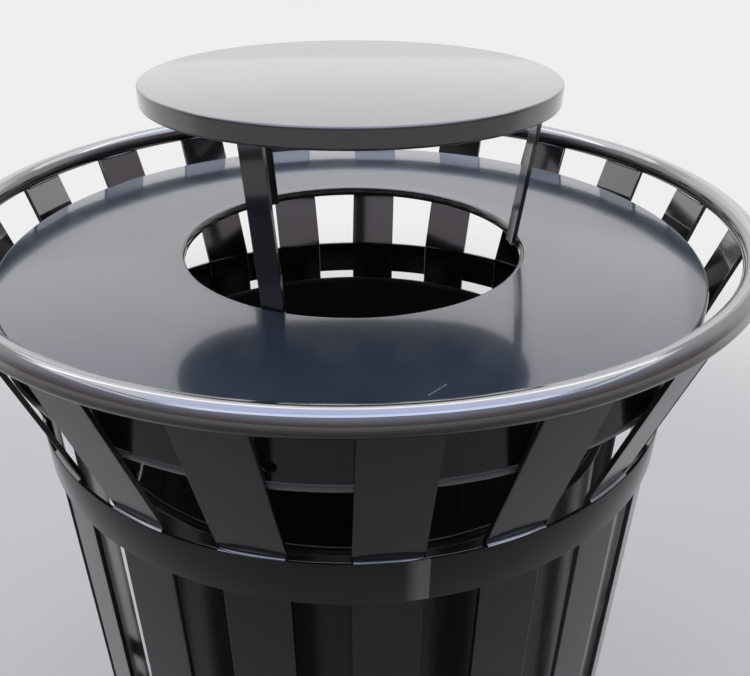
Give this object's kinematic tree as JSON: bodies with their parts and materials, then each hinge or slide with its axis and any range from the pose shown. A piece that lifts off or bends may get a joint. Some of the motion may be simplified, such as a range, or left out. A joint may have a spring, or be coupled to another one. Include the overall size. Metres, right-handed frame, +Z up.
{
  "type": "litter bin",
  "caption": "Round street litter bin: a flared body of welded steel slats, a lift-out liner with drop handles, and a loose round lid with a raised flat rain bonnet.",
  "frame": {"origin": "on the floor, under the middle of the bin", "axes": "+Z up along the bin's axis; the first slat faces -Y"},
  "size_m": [0.6999, 0.7, 0.9999],
  "materials": {
    "frame_paint": "gloss black powder coat",
    "lid_paint": "gloss black powder coat",
    "liner_paint": "gloss black paint",
    "zinc_plate": "zinc plated",
    "foot_rubber": "matt moulded rubber"
  },
  "bodies": {
    "frame": {"rim_tube": "frame_paint", "upper_band": "frame_paint", "lower_band": "frame_paint", "base_pan": "frame_paint", "slat_01": "frame_paint", "slat_02": "frame_paint", "slat_03": "frame_paint", "slat_04": "frame_paint", "slat_05": "frame_paint", "slat_06": "frame_paint", "slat_07": "frame_paint", "slat_08": "frame_paint", "slat_09": "frame_paint", "slat_10": "frame_paint", "slat_11": "frame_paint", "slat_12": "frame_paint", "slat_13": "frame_paint", "slat_14": "frame_paint", "slat_15": "frame_paint", "slat_16": "frame_paint", "slat_17": "frame_paint", "slat_18": "frame_paint", "slat_19": "frame_paint", "foot_1": "foot_rubber", "foot_2": "foot_rubber", "foot_3": "foot_rubber", "foot_4": "foot_rubber", "foot_bolts": "zinc_plate", "foot_washers": "zinc_plate", "foot_nuts": "zinc_plate"},
    "liner": {"liner_wall": "liner_paint", "liner_floor": "liner_paint", "left_lugs": "zinc_plate", "right_lugs": "zinc_plate", "lug_rivets": "zinc_plate"},
    "lid": {"lid_pan": "lid_paint", "bonnet_cap": "lid_paint", "bonnet_leg_1": "lid_paint", "bonnet_leg_2": "lid_paint", "bonnet_leg_3": "lid_paint"},
    "left_handle": {"left_handle": "zinc_plate"},
    "right_handle": {"right_handle": "zinc_plate"}
  },
  "joints": [
    {"name": "liner_lift", "type": "slide", "parent": "frame", "child": "liner", "axis": [0, 0, 1], "range_m": [0, 0.88]},
    {"name": "lid_lift", "type": "slide", "parent": "liner", "child": "lid", "axis": [0, 0, 1], "range_m": [0, 0.25]},
    {"name": "left_handle_hinge", "type": "hinge", "parent": "liner", "child": "left_handle", "pos_m": [-0.221, 0, 0.66994], "axis": [0, -1, 0], "range_deg": [-10, 185]},
    {"name": "right_handle_hinge", "type": "hinge", "parent": "liner", "child": "right_handle", "pos_m": [0.221, 0, 0.66994], "axis": [0, 1, 0], "range_deg": [-10, 185]}
  ]
}
